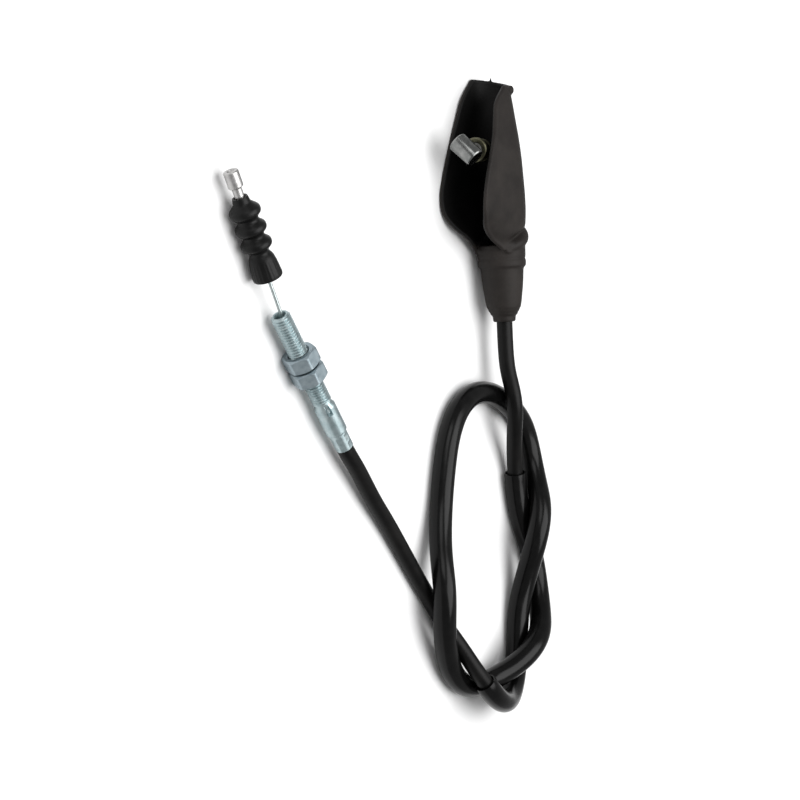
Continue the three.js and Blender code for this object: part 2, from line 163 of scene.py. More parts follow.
def rounded(profile: Sequence[tuple[float, float, float]], steps: int = 4) -> list[tuple[float, float]]:
    """Rounds the corners of an open profile.

    Args:
        profile: Each corner as (radius from the axis, y, corner radius); a corner radius of 0 stays sharp.
        steps: Straight steps in each rounded corner.

    Returns:
        Pairs of radius and y.
    """
    points = [np.array(p[:2]) for p in profile]
    out: list[tuple[float, float]] = []
    for i, corner in enumerate(points):
        size = profile[i][2]
        if size <= 0 or i in (0, len(points) - 1):
            out.append(tuple(corner))
            continue
        before, after = points[i - 1] - corner, points[i + 1] - corner
        reach = min(size, 0.45 * np.linalg.norm(before), 0.45 * np.linalg.norm(after))
        start = corner + before / np.linalg.norm(before) * reach
        end = corner + after / np.linalg.norm(after) * reach
        for step in range(steps + 1):
            t = step / steps
            bend = (1 - t) ** 2 * start + 2 * t * (1 - t) * corner + t**2 * end
            out.append(tuple(bend))
    return out


def in_metres(profile: Sequence[tuple[float, ...]]) -> list[tuple[float, ...]]:
    """A profile given in millimetres, in metres."""
    return [tuple(value * MM for value in corner) for corner in profile]


def wave_noise(points: np.ndarray, seed: int, waves: int = 6) -> np.ndarray:
    """A smooth repeatable wobble between about -1 and 1 at each value of a one-dimensional place."""
    draw = np.random.default_rng(seed)
    total = np.zeros_like(points)
    for _ in range(waves):
        total += np.sin(points * draw.uniform(0.5, 2.0) + draw.uniform(0, 2 * math.pi))
    return total / waves


def smooth_table(places: Sequence[float], values: Sequence[float], wanted: np.ndarray) -> np.ndarray:
    """A smooth curve through a short table, by cubic pieces with even slopes.

    Args:
        places: Rising places of the table's entries.
        values: The entry at each place.
        wanted: Places where the curve is read.

    Returns:
        The curve's value at each wanted place.
    """
    x, y = np.asarray(places, float), np.asarray(values, float)
    slope = np.gradient(y, x)
    cell = np.clip(np.searchsorted(x, wanted) - 1, 0, len(x) - 2)
    width = x[cell + 1] - x[cell]
    t = np.clip((wanted - x[cell]) / width, 0, 1)
    keep = 2 * t**3 - 3 * t**2 + 1
    return (keep * y[cell] + (t**3 - 2 * t**2 + t) * width * slope[cell]
            + (1 - keep) * y[cell + 1] + (t**3 - t**2) * width * slope[cell + 1])


def joined(name: str, pieces: Sequence[bpy.types.Object]) -> bpy.types.Object:
    """One object that holds the meshes of several, which are removed."""
    corners: list[np.ndarray] = []
    faces: list[list[int]] = []
    total = 0
    for piece in pieces:
        points = np.array([piece.matrix_world @ v.co for v in piece.data.vertices])
        corners.append(points)
        faces += [[total + i for i in polygon.vertices] for polygon in piece.data.polygons]
        total += len(points)
        bpy.data.objects.remove(piece, do_unlink=True)
    return mesh_object(name, np.vstack(corners), faces)


def with_modifiers_applied(piece: bpy.types.Object) -> bpy.types.Object:
    """The piece with its modifiers' result as its mesh."""
    bpy.context.view_layer.update()
    graph = bpy.context.evaluated_depsgraph_get()
    data = bpy.data.meshes.new_from_object(piece.evaluated_get(graph))
    piece.modifiers.clear()
    piece.data = data
    return piece


def placed(piece: bpy.types.Object, place: Matrix) -> bpy.types.Object:
    """Moves a piece from its maker's axes to its place on the bench."""
    piece.matrix_world = place
    bpy.context.view_layer.update()
    return piece


def axis_place(origin: Vector, turn: float) -> Matrix:
    """Axes on the bench at a point, with local Y turned from +Y towards -X."""
    return Matrix.Translation(origin) @ Matrix.Rotation(turn, 4, "Z")


def along_turn(turn: float) -> Vector:
    """The direction that local Y has after such a turn."""
    return Vector((-math.sin(turn), math.cos(turn), 0.0))


# ---------------------------------------------------------------- finishes


class NodeBench:
    """A material under construction, with short calls to add nodes and wires."""

    def __init__(self, name: str) -> None:
        """Starts a material that holds one Principled shader."""
        self.material = bpy.data.materials.new(name)
        self.material.use_nodes = True
        self.tree = self.material.node_tree
        self.shader = self.tree.nodes["Principled BSDF"]
        self.place = self.add("ShaderNodeTexCoord").outputs["Object"]

    def add(self, kind: str, **settings: object) -> bpy.types.Node:
        """Adds a node and sets its properties."""
        node = self.tree.nodes.new(kind)
        for key, value in settings.items():
            setattr(node, key, value)
        return node

    def wire(self, source: bpy.types.NodeSocket, target: bpy.types.NodeSocket) -> None:
        """Links one socket to another."""
        self.tree.links.new(source, target)

    def stretched(self, scale: tuple[float, float, float]) -> bpy.types.NodeSocket:
        """The piece's own coordinates, scaled along its axes."""
        mapping = self.add("ShaderNodeMapping")
        mapping.inputs["Scale"].default_value = scale
        self.wire(self.place, mapping.inputs["Vector"])
        return mapping.outputs["Vector"]

    def noise(self, scale: float, detail: float = 3.0, roughness: float = 0.5,
              place: bpy.types.NodeSocket | None = None) -> bpy.types.NodeSocket:
        """A noise field over the piece's own coordinates."""
        node = self.add("ShaderNodeTexNoise")
        node.inputs["Scale"].default_value = scale
        node.inputs["Detail"].default_value = detail
        node.inputs["Roughness"].default_value = roughness
        self.wire(place or self.place, node.inputs["Vector"])
        return node.outputs["Fac"]

    def ramp(self, source: bpy.types.NodeSocket,
             stops: Sequence[tuple[float, tuple[float, ...]]]) -> bpy.types.NodeSocket:
        """Colours read from a field by a ramp of stops."""
        node = self.add("ShaderNodeValToRGB")
        band = node.color_ramp
        while len(band.elements) < len(stops):
            band.elements.new(0.5)
        for element, (at, colour) in zip(band.elements, stops):
            element.position = at
            element.color = (*colour, 1.0)
        self.wire(source, node.inputs["Fac"])
        return node.outputs["Color"]

    def between(self, source: bpy.types.NodeSocket, low: float, high: float,
                from_low: float = 0.0, from_high: float = 1.0) -> bpy.types.NodeSocket:
        """A field moved to run between two values."""
        node = self.add("ShaderNodeMapRange")
        node.inputs["From Min"].default_value = from_low
        node.inputs["From Max"].default_value = from_high
        node.inputs["To Min"].default_value = low
        node.inputs["To Max"].default_value = high
        self.wire(source, node.inputs["Value"])
        return node.outputs["Result"]

    def mixed(self, factor: bpy.types.NodeSocket, first: bpy.types.NodeSocket,
              second: bpy.types.NodeSocket) -> bpy.types.NodeSocket:
        """Two colours mixed by a field."""
        node = self.add("ShaderNodeMix", data_type="RGBA")
        self.wire(factor, node.inputs[0])
        self.wire(first, node.inputs[6])
        self.wire(second, node.inputs[7])
        return node.outputs[2]

    def summed(self, first: bpy.types.NodeSocket, second: bpy.types.NodeSocket,
               share: float) -> bpy.types.NodeSocket:
        """The first field plus a share of the second."""
        node = self.add("ShaderNodeMath", operation="MULTIPLY_ADD")
        node.inputs[1].default_value = share
        self.wire(second, node.inputs[0])
        self.wire(first, node.inputs[2])
        return node.outputs[0]

    def relief(self, height: bpy.types.NodeSocket, depth: float, strength: float = 1.0) -> None:
        """Bumps the surface by a field, to a depth in metres."""
        node = self.add("ShaderNodeBump")
        node.inputs["Distance"].default_value = depth
        node.inputs["Strength"].default_value = strength
        self.wire(height, node.inputs["Height"])
        self.wire(node.outputs["Normal"], self.shader.inputs["Normal"])


@dataclass(frozen=True)
class Rubber:
    """Moulded black or grey rubber, with a fine grain and pale handling dust, and optionally a darker colour
    painted as shade where a point attribute marks it.
    """

    name: str
    dark: tuple[float, float, float]
    pale: tuple[float, float, float]
    roughness: tuple[float, float]
    grain: float = 2600.0
    grain_depth: float = 0.00005
    bloom: float = 90.0
    specular: float = 0.4
    # Colour painted as shade where the marking attribute is set, darker than the skin; None paints no shade.
    painted_lining_shade: tuple[float, float, float] | None = None

    def make(self) -> bpy.types.Material:
        """The material."""
        bench = NodeBench(self.name)
        shade = bench.noise(self.bloom, 5.0, 0.6)
        skin = bench.ramp(shade, [(0.35, self.dark), (0.72, self.pale)])
        # Painted shade: the skin's colour is mixed towards a darker colour where the marking attribute is
        # set.
        if self.painted_lining_shade:
            inside = bench.add("ShaderNodeAttribute", attribute_name=LINING_SHADE_ATTRIBUTE)
            painted_lining_shade = bench.ramp(shade, [(0.35, self.painted_lining_shade), (0.72, self.painted_lining_shade)])
            skin = bench.mixed(inside.outputs["Fac"], skin, painted_lining_shade)
        bench.wire(skin, bench.shader.inputs["Base Color"])
        fine = bench.noise(self.grain, 2.0)
        bench.wire(bench.between(bench.summed(shade, fine, 0.4), *self.roughness, 0.3, 1.0),
                   bench.shader.inputs["Roughness"])
        bench.relief(bench.summed(fine, bench.noise(self.grain * 0.12, 3.0), 1.2), self.grain_depth)
        bench.shader.inputs["Specular IOR Level"].default_value = self.specular
        return bench.material


@dataclass(frozen=True)
class GlossTube:
    """Extruded glossy black plastic, with long drawing ripples and a few dull scuffs."""

    name: str
    dark: tuple[float, float, float]
    pale: tuple[float, float, float]
    gloss: tuple[float, float]
    ripple_depth: float = 0.00012

    def make(self) -> bpy.types.Material:
        """The material."""
        bench = NodeBench(self.name)
        scuff = bench.noise(240.0, 6.0, 0.7)
        bench.wire(bench.ramp(scuff, [(0.45, self.dark), (0.85, self.pale)]),
                   bench.shader.inputs["Base Color"])
        bench.wire(bench.between(scuff, *self.gloss, 0.4, 0.9), bench.shader.inputs["Roughness"])
        bench.relief(bench.summed(bench.noise(110.0, 1.0), bench.noise(1900.0, 2.0), 0.05),
                     self.ripple_depth, 0.6)
        bench.shader.inputs["Specular IOR Level"].default_value = 0.17
        return bench.material


@dataclass(frozen=True)
class PlatedSteel:
    """Machined steel under thin plating: fine turning lines, a faint mottle and dull specks."""

    name: str
    tones: tuple[tuple[float, float, float], tuple[float, float, float], tuple[float, float, float]]
    roughness: tuple[float, float]
    lines: float = 9000.0
    line_depth: float = 0.000015
    mottle: float = 420.0

    def make(self) -> bpy.types.Material:
        """The material."""
        bench = NodeBench(self.name)
        mottle = bench.noise(self.mottle, 6.0, 0.65)
        low, middle, high = self.tones
        bench.wire(bench.ramp(mottle, [(0.3, low), (0.52, middle), (0.75, high)]),
                   bench.shader.inputs["Base Color"])
        turning = bench.noise(1.0, 2.0, 0.6, bench.stretched((180.0, self.lines, 180.0)))
        bench.wire(bench.between(bench.summed(mottle, turning, 0.5), *self.roughness, 0.4, 1.1),
                   bench.shader.inputs["Roughness"])
        bench.relief(bench.summed(turning, bench.noise(2600.0, 3.0), 0.8), self.line_depth)
        bench.shader.inputs["Metallic"].default_value = 1.0
        return bench.material


@dataclass(frozen=True)
class PlainPlastic:
    """Moulded plastic or a painted ground, with a slight mottle."""

    name: str
    dark: tuple[float, float, float]
    pale: tuple[float, float, float]
    roughness: tuple[float, float]
    grain: float = 900.0
    grain_depth: float = 0.00002

    def make(self) -> bpy.types.Material:
        """The material."""
        bench = NodeBench(self.name)
        grain = bench.noise(self.grain, 4.0)
        bench.wire(bench.ramp(grain, [(0.3, self.dark), (0.7, self.pale)]), bench.shader.inputs["Base Color"])
        bench.wire(bench.between(grain, *self.roughness), bench.shader.inputs["Roughness"])
        bench.relief(grain, self.grain_depth)
        return bench.material


COVER_RUBBER = Rubber("cover_rubber", (0.0022, 0.0022, 0.0022), (0.006, 0.0057, 0.0054), (0.3, 0.46),
                      specular=0.13)
BELLOWS_RUBBER = Rubber("bellows_rubber", (0.0025, 0.0025, 0.0025), (0.0065, 0.0065, 0.0065), (0.3, 0.46),
                        specular=0.18)
# The boot's third, darkest colour is painted shade on the inside of its hood.
BOOT_RUBBER = Rubber("boot_rubber", (0.0105, 0.0085, 0.0075), (0.022, 0.0185, 0.0165), (0.5, 0.7),
                     grain=1900.0,
                     specular=0.2, painted_lining_shade=(0.0016, 0.0015, 0.0014))
SLEEVE_GLOSS = GlossTube("sleeve_gloss", (0.0018, 0.0018, 0.0018), (0.0045, 0.0045, 0.0045), (0.2, 0.32))
ZINC = PlatedSteel("zinc_plate", ((0.28, 0.36, 0.375), (0.385, 0.465, 0.48), (0.49, 0.56, 0.57)), (0.33, 0.5))
NUT_ZINC = PlatedSteel("nut_zinc_plate", ((0.24, 0.30, 0.33), (0.31, 0.37, 0.40), (0.38, 0.44, 0.47)),
                       (0.4, 0.58),
                       lines=900.0)
BRIGHT_PLATE = PlatedSteel("bright_plate", ((0.13, 0.135, 0.135), (0.20, 0.205, 0.20), (0.30, 0.30, 0.295)),
                           (0.12, 0.26))
PALE_PLATE = PlatedSteel("pale_plate", ((0.34, 0.335, 0.33), (0.45, 0.445, 0.44), (0.56, 0.555, 0.55)),
                         (0.3, 0.46))
YELLOW_ZINC = PlatedSteel("yellow_zinc", ((0.07, 0.067, 0.04), (0.11, 0.106, 0.07), (0.16, 0.155, 0.105)),
                          (0.3, 0.46))
CORE_STEEL = PlatedSteel("core_steel", ((0.30, 0.34, 0.34), (0.42, 0.47, 0.47), (0.52, 0.56, 0.56)),
                         (0.26, 0.42),
                         lines=2500.0)
GUIDE_PLASTIC = PlainPlastic("guide_plastic", (0.07, 0.07, 0.066), (0.10, 0.10, 0.096), (0.45, 0.6))
BENCH_TOP = PlainPlastic("bench_top", (0.84, 0.84, 0.84), (0.86, 0.86, 0.86), (0.6, 0.7), grain=40.0)


def dress(piece: bpy.types.Object, material: bpy.types.Material) -> None:
    """Gives a piece its material."""
    piece.data.materials.clear()
    piece.data.materials.append(material)


# ---------------------------------------------------------------- camera and light


@dataclass
class Studio:
    """A pale bench top, overhead soft light and the camera."""

    aim: Vector = field(default_factory=lambda: Vector((0.0247, -0.058, 0.0)))
    elevation: float = math.radians(34.0)
    distance: float = 1.0
    lens: float = 108.0
    bench_half: float = 3.0

    def toward_camera(self) -> Vector:
        """The direction from the aim point to the camera, which stands on the adjuster's side."""
        return Vector((-math.cos(self.elevation), 0.0, math.sin(self.elevation)))

    def camera(self) -> None:
        """Sets the camera, turned so that +Y is up in the frame."""
        back = self.toward_camera()
        right = Vector((0.0, 1.0, 0.0)).cross(back)
        stand = self.aim + back * self.distance
        data = bpy.data.cameras.new("camera")
        data.lens = self.lens
        data.sensor_width = 36.0
        data.clip_start = 0.01
        made = bpy.data.objects.new("camera", data)
        bpy.context.scene.collection.objects.link(made)
        turn = Matrix((right, Vector((0.0, 1.0, 0.0)), back)).transposed().to_4x4()
        made.matrix_world = Matrix.Translation(stand) @ turn
        bpy.context.scene.camera = made

    def soft_box(self, name: str, offset: tuple[float, float, float], size: float, power: float) -> None:
        """Adds one square area light that faces the aim point.

        Args:
            name: The light's name.
            offset: Where it stands from the aim point, in metres.
            size: Its side, in metres.
            power: Its power, in watts.
        """
        data = bpy.data.lights.new(name, "AREA")
        data.size = size
        data.energy = power
        made = bpy.data.objects.new(name, data)
        bpy.context.scene.collection.objects.link(made)
        made.location = self.aim + Vector(offset)
        made.rotation_euler = Vector(offset).to_track_quat("Z", "Y").to_euler()

    def light(self) -> None:
        """Hangs the lights and sets the sky."""
        self.soft_box("overhead", (0.05, 0.05, 1.3), 1.3, 22.0)
        self.soft_box("side_fill", (-1.1, 0.9, 0.9), 0.8, 5.0)
        sky = bpy.data.worlds.new("studio_sky")
        sky.use_nodes = True
        sky.node_tree.nodes["Background"].inputs["Color"].default_value = (1.0, 1.0, 1.0, 1.0)
        sky.node_tree.nodes["Background"].inputs["Strength"].default_value = 0.42
        bpy.context.scene.world = sky
        bpy.context.scene.view_settings.view_transform = "Standard"

    def bench(self) -> None:
        """Lays the bench top."""
        half = self.bench_half
        corners = np.array([(-half, -half, 0), (half, -half, 0), (half, half, 0), (-half, half, 0)])
        top = mesh_object("bench_top", corners, [(0, 1, 2, 3)])
        top.data.materials.append(BENCH_TOP.make())

    def build(self) -> None:
        """Sets up everything around the object."""
        self.camera()
        self.light()
        self.bench()


# ---------------------------------------------------------------- the route


# The casing's centreline after the adjuster, as in the part's source, in metres. The points were set
# along a line that a solver had eased to the bend limits, and some were moved afterwards.
ROUTE_POINTS = (
    (-0.0152, -0.0857, 0.0061), (-0.0026, -0.0980, 0.0048), (0.0102, -0.1095, 0.0039),
    (0.0290, -0.1290, 0.0035), (0.0420, -0.1425, 0.0035), (0.0490, -0.1498, 0.0037),
    (0.0553, -0.1572, 0.0052), (0.0599, -0.1648, 0.0086), (0.0636, -0.1726, 0.0122),
    (0.0690, -0.1800, 0.0149), (0.0762, -0.1858, 0.0150), (0.0845, -0.1890, 0.0136),
    (0.0932, -0.1892, 0.0110), (0.1010, -0.1859, 0.0082), (0.1070, -0.1798, 0.0060),
    (0.1103, -0.1714, 0.0049), (0.1109, -0.1620, 0.0049), (0.1114, -0.1510, 0.0053),
    (0.1126, -0.1406, 0.0072), (0.1123, -0.1310, 0.0104), (0.1116, -0.1220, 0.0138),
    (0.1129, -0.1132, 0.0153), (0.1157, -0.1046, 0.0141), (0.1189, -0.0960, 0.0102),
    (0.1210, -0.0870, 0.0067), (0.1204, -0.0786, 0.0051), (0.1170, -0.0710, 0.0049),
    (0.1110, -0.0648, 0.0049), (0.0995, -0.0584, 0.0049), (0.0865, -0.0548, 0.0049),
    (0.0732, -0.0556, 0.0049), (0.0622, -0.0620, 0.0049), (0.0550, -0.0730, 0.0049),
    (0.0510, -0.0880, 0.0049), (0.0482, -0.1045, 0.0052), (0.0443, -0.1180, 0.0074),
    (0.0408, -0.1280, 0.0106), (0.0396, -0.1370, 0.0126), (0.0400, -0.1460, 0.0125),
    (0.0430, -0.1550, 0.0104), (0.0486, -0.1642, 0.0076), (0.0552, -0.1728, 0.0056),
    (0.0640, -0.1794, 0.0049), (0.0740, -0.1818, 0.0049), (0.0830, -0.1810, 0.0056),
    (0.0914, -0.1780, 0.0086), (0.0990, -0.1734, 0.0126), (0.1066, -0.1676, 0.0153),
    (0.1144, -0.1610, 0.0146), (0.1208, -0.1536, 0.0110), (0.1248, -0.1446, 0.0074),
    (0.1258, -0.1346, 0.0052), (0.1228, -0.1250, 0.0049), (0.1174, -0.1166, 0.0049),
    (0.1128, -0.1080, 0.0049), (0.1099, -0.0980, 0.0049), (0.1072, -0.0880, 0.0058),
    (0.1031, -0.0790, 0.0080), (0.0982, -0.0704, 0.0112), (0.0943, -0.0610, 0.0139),
    (0.0927, -0.0526, 0.0133), (0.0920, -0.0456, 0.0115), (0.0912, -0.0376, 0.0110),
    (0.0900, -0.0238, 0.0110),
)
ADJUSTER_TIP = Vector((-0.0675, -0.0255, 0.0065))
ADJUSTER_TURN = math.radians(40.0)
ADJUSTER_LENGTH = 0.067
WIRE_TURN = math.radians(31.0)
WIRE_LEAN = 0.0011
BOOT_NECK = Vector((0.0900, -0.0238, 0.0110))
BOOT_TURN = math.radians(5.0)
BEND_ANGLE = math.radians(90.0)
BEND_TILT = math.radians(8.0)
FERRULE_LENGTH = 0.008


def on_boot(x: float, y: float, z: float = 0.0) -> Vector:
    """A point in the boot's axes, y along it from its neck and x away from its mouth, on the bench."""
    return axis_place(BOOT_NECK, BOOT_TURN) @ Vector((x, y, z))


@dataclass
class Route:
    """The casing's centreline from the adjuster's tail to the lever's ferrule."""

    sleeve_offset: float = 0.0020
    bend_from: float = 0.0565
    bend_radius: float = 0.018
    bend_steps: int = 5
    depth_in_ferrule: float = 0.0047
    pitch: float = 0.0016
    easing: int = 10

    def on_bend(self, angle: float) -> Vector:
        """A point on the bend inside the boot."""
        inwards = self.bend_radius * (1 - math.cos(angle))
        return on_boot(self.sleeve_offset - inwards * math.cos(BEND_TILT),
                       self.bend_from + self.bend_radius * math.sin(angle), inwards * math.sin(BEND_TILT))

    def lever_place(self) -> Matrix:
        """Axes at the middle of the ferrule's face, with local Y along the pull."""
        turn = (Matrix.Rotation(BOOT_TURN, 4, "Z") @ Matrix.Rotation(BEND_TILT, 4, "Y")
                @ Matrix.Rotation(BEND_ANGLE, 4, "Z"))
        pull = turn @ Vector((0.0, 1.0, 0.0))
        return Matrix.Translation(self.on_bend(BEND_ANGLE) + pull * FERRULE_LENGTH) @ turn

    def chosen(self) -> np.ndarray:
        """Every point that the centreline passes through."""
        down = -along_turn(ADJUSTER_TURN)
        pull = self.lever_place().to_3x3() @ Vector((0.0, 1.0, 0.0))
        tail = ADJUSTER_TIP + down * ADJUSTER_LENGTH
        points = [tail, tail + down * 0.003]
        points += [Vector(point) for point in ROUTE_POINTS]
        points += [on_boot(0.0, 0.011), on_boot(self.sleeve_offset * 0.4, 0.024),
                   on_boot(self.sleeve_offset * 0.8, 0.038),
                   on_boot(self.sleeve_offset, self.bend_from - 0.006)]
        points += [self.on_bend(BEND_ANGLE * i / self.bend_steps) for i in range(self.bend_steps + 1)]
        end = self.on_bend(BEND_ANGLE)
        points += [end + pull * (self.depth_in_ferrule * share) for share in (0.5, 1.0)]
        return np.array(points)

    def line(self) -> np.ndarray:
        """The centreline as points one pitch apart.

        Returns:
            Array of shape (points, 3), in metres.
        """
        points = self.chosen()
        padded = np.vstack([2 * points[0] - points[1], points, 2 * points[-1] - points[-2]])
        steps = np.linspace(0, 1, 14, endpoint=False)[:, None]
        pieces = []
        for before, start, end, after in zip(padded, padded[1:], padded[2:], padded[3:]):
            gaps = [max(np.linalg.norm(b - a) ** 0.5, 1e-6)
                    for a, b in ((before, start), (start, end), (end, after))]
            first = ((start - before) / gaps[0] - (end - before) / (gaps[0] + gaps[1])
                     + (end - start) / gaps[1])
            last = (end - start) / gaps[1] - (after - start) / (gaps[1] + gaps[2]) + (after - end) / gaps[2]
            first, last = first * gaps[1], last * gaps[1]
            pieces.append(start + first * steps + (3 * (end - start) - 2 * first - last) * steps**2
                          + (2 * (start - end) + first + last) * steps**3)
        rough = np.vstack([*pieces, points[-1:]])
        even = self.evenly(rough)
        for _ in range(self.easing):
            even[2:-2] = 0.25 * even[1:-3] + 0.5 * even[2:-2] + 0.25 * even[3:-1]
        return self.evenly(even)

    def evenly(self, points: np.ndarray) -> np.ndarray:
        """The same line with its points one pitch apart."""
        reach = np.concatenate([[0], np.cumsum(np.linalg.norm(np.diff(points, axis=0), axis=1))])
        count = max(int(round(reach[-1] / self.pitch)), 2)
        wanted = np.linspace(0, reach[-1], count + 1)
        return np.stack([np.interp(wanted, reach, points[:, i]) for i in range(3)], axis=1)


def line_length(points: np.ndarray) -> float:
    """The length of a line of points."""
    return float(np.linalg.norm(np.diff(points, axis=0), axis=1).sum())


def swept_rings(line: np.ndarray, reach: Callable[[np.ndarray, np.ndarray], np.ndarray],
                segments: int) -> np.ndarray:
    """Rings across a line, each turned as little as it can be from the one before.

    Args:
        line: The centreline's points.
        reach: Gives the radius from (places along the line as a column, angles as a row).
        segments: Points around each ring.

    Returns:
        Array of shape (points of the line, segments, 3).
    """
    ways = np.gradient(line, axis=0)
    ways /= np.linalg.norm(ways, axis=1)[:, None]
    side = np.cross(ways[0], (0.0, 0.0, 1.0))
    sides = []
    for way in ways:
        side = side - way * np.dot(side, way)
        side = side / np.linalg.norm(side)
        sides.append(side)
    sides = np.array(sides)
    ups = np.cross(sides, ways)
    along = np.concatenate([[0], np.cumsum(np.linalg.norm(np.diff(line, axis=0), axis=1))])[:, None]
    angles = ring_angles(segments)[None, :]
    radius = reach(along, angles)[:, :, None]
    spokes = sides[:, None] * np.cos(angles)[:, :, None] + ups[:, None] * np.sin(angles)[:, :, None]
    return line[:, None] + radius * spokes


@dataclass
class Casing:
    """The casing's black cover, which runs the whole way in one length."""

    radius: float = 0.0035
    segments: int = 28

    def build(self, line: np.ndarray) -> bpy.types.Object:
        """Makes the cover along the centreline.

        Args:
            line: The centreline's points.

        Returns:
            The cover, dressed and riding on the casing.
        """
        def reach(along: np.ndarray, angles: np.ndarray) -> np.ndarray:
            """The cover's radius, with the faint telegraphing of the strip wound under it."""
            return self.radius * (1.0 - 0.006 * (1 + np.cos(along / 0.0026 * 2 * math.pi + angles)) / 2)

        cover = skinned("casing_cover", swept_rings(line, reach, self.segments), Ends.CAPPED)
        smooth_shaded(cover, 50.0)
        dress(cover, COVER_RUBBER.make())
        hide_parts("casing_jacket", "casing_spiral", "casing_liner", "inner_wire_run")
        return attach(cover, "casing")


@dataclass
class LooseSleeve:
    """The loose glossy tube over the coiled part, open at both ends."""

    radius: float = 0.0049
    wall: float = 0.0007
    segments: int = 36
    wobble: float = 0.006
    rim: float = 0.0002
    first: float = 0.140
    last: float = 0.632

    def build(self, line: np.ndarray) -> bpy.types.Object:
        """Makes the sleeve over its part of the centreline.

        Args:
            line: The whole centreline.

        Returns:
            The sleeve, dressed and riding on the casing.
        """
        along = np.concatenate([[0], np.cumsum(np.linalg.norm(np.diff(line, axis=0), axis=1))])
        covered = line[(along >= self.first) & (along <= self.last)]

        def outer(place: np.ndarray, angles: np.ndarray) -> np.ndarray:
            """The skin's radius, slightly out of round and tucked in at the cut ends."""
            swell = wave_noise(place / 0.006 + 0.0 * angles, 4) + wave_noise(place / 0.011 + 2 * angles, 9)
            edge = np.minimum(place, place.max() - place)
            tuck = self.rim * np.clip(1 - edge / 0.0006, 0, 1)
            return self.radius * (1 - self.wobble * (1 + swell) / 2) - tuck

        def inner(place: np.ndarray, angles: np.ndarray) -> np.ndarray:
            """The bore's radius."""
            return outer(place, angles) * 0 + self.radius - self.wall

        skin = swept_rings(covered, outer, self.segments)
        bore = swept_rings(covered, inner, self.segments)[::-1]
        sleeve = skinned("loose_sleeve_tube", np.concatenate([skin, bore]), Ends.JOINED)
        smooth_shaded(sleeve, 50.0)
        dress(sleeve, SLEEVE_GLOSS.make())
        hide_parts("loose_sleeve")
        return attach(sleeve, "casing")


# ---------------------------------------------------------------- adjuster end


@dataclass
class Adjuster:
    """The threaded adjuster: chamfered tip, thread, relief, marked shoulder and crimped tail."""

    thread_radius: float = 0.0040
    thread_length: float = 0.0428
    pitch: float = 0.00125
    thread_depth: float = 0.00068
    chamfer: float = 0.0008
    bore: float = 0.0023
    bore_depth: float = 0.0200
    relief_radius: float = 0.0035
    relief_end: float = 0.0440
    shoulder_radius: float = 0.0044
    taper: float = 0.0016
    shoulder_end: float = 0.0590
    tail_radius: float = 0.00375
    tail_flats: float = 0.00355
    length: float = ADJUSTER_LENGTH
    mark_from: float = 0.0468
    mark_half: tuple[float, float] = (0.0016, 0.0011)
    mark_depth: float = 0.0014
    mark_angle: float = math.radians(127.0)
    segments: int = 96

    def profile(self) -> list[tuple[float, float]]:
        """The outline from the bore's floor, over the tip, down to the tail's end."""
        rows_per_pitch = 12
        tip = [(0.0006, -self.bore_depth), (self.bore, -self.bore_depth), (self.bore, -0.0004),
               (self.bore + 0.0003, 0.0), (self.thread_radius - self.chamfer, 0.0)]
        rows = int(self.thread_length / self.pitch * rows_per_pitch)
        threads = [(self.thread_radius, -self.thread_length * (i + 0.5) / rows) for i in range(rows)]
        body_rows = 44
        span = self.shoulder_end - 0.0008 - self.relief_end - self.taper
        body = [(self.shoulder_radius, -self.relief_end - self.taper - span * i / body_rows)
                for i in range(body_rows + 1)]
        tail_rows = 30
        tail_span = self.length - self.shoulder_end
        tail = [(self.tail_radius, -self.shoulder_end - tail_span * i / tail_rows) for i in range(tail_rows)]
        return [*tip, *threads, (self.relief_radius, -self.thread_length - 0.0003),
                (self.relief_radius, -self.relief_end), *body, *tail,
                (self.tail_radius - 0.0003, -self.length), (0.0035, -self.length)]

    def radius_at(self, angles: np.ndarray, radius: float, y: float) -> np.ndarray:
        """The radius round one ring: thread, mark or crimped flats where they lie.

        Args:
            angles: The ring's angles.
            radius: The outline's radius there.
            y: The ring's place along the adjuster.

        Returns:
            The radius at each angle.
        """
        deep = -y
        if radius == self.thread_radius and deep < self.thread_length:
            turn = np.mod(deep / self.pitch + angles / (2 * math.pi), 1.0)
            crest = np.clip(np.abs(turn - 0.5) * 2 * 1.25 - 0.125, 0, 1)
            run_in = np.clip(1 - deep / self.chamfer, 0, 1) * self.chamfer
            run_out = np.clip((self.thread_length - deep) / 0.0012, 0, 1)
            ground = self.thread_radius - self.thread_depth * (1 - crest) * run_out
            return np.minimum(ground, self.thread_radius - run_in)
        if radius == self.shoulder_radius:
            off_y = (deep - self.mark_from) / self.mark_half[0]
            off_side = ((np.mod(angles - self.mark_angle + math.pi, 2 * math.pi) - math.pi)
                        * radius / self.mark_half[1])
            inside = np.clip((1.0 - np.maximum(np.abs(off_y), np.abs(off_side))) * 4, 0, 1)
            return radius - self.mark_depth * inside
        if radius == self.tail_radius:
            sixth = math.pi / 3
            flat = self.tail_flats / np.cos(np.mod(angles, sixth) - sixth / 2)
            depth = deep - self.shoulder_end
            pressed = np.clip((depth - 0.0008) / 0.0005, 0, 1) * np.clip((self.length - deep) / 0.0004, 0, 1)
            pressed = pressed * (1 - 0.75 * math.exp(-((depth - 0.0046) / 0.00035) ** 2))
            return radius + (np.minimum(flat, radius) - radius) * pressed
        return np.full_like(angles, radius)

    def build(self) -> bpy.types.Object:
        """Makes the adjuster in its place."""
        rings = turned_rings(self.profile(), self.segments, self.radius_at)
        barrel = skinned("adjuster", rings, Ends.CAPPED)
        smooth_shaded(barrel, 38.0)
        placed(barrel, axis_place(ADJUSTER_TIP, ADJUSTER_TURN))
        dress(barrel, ZINC.make())
        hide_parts("adjuster_barrel")
        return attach(barrel, "casing")


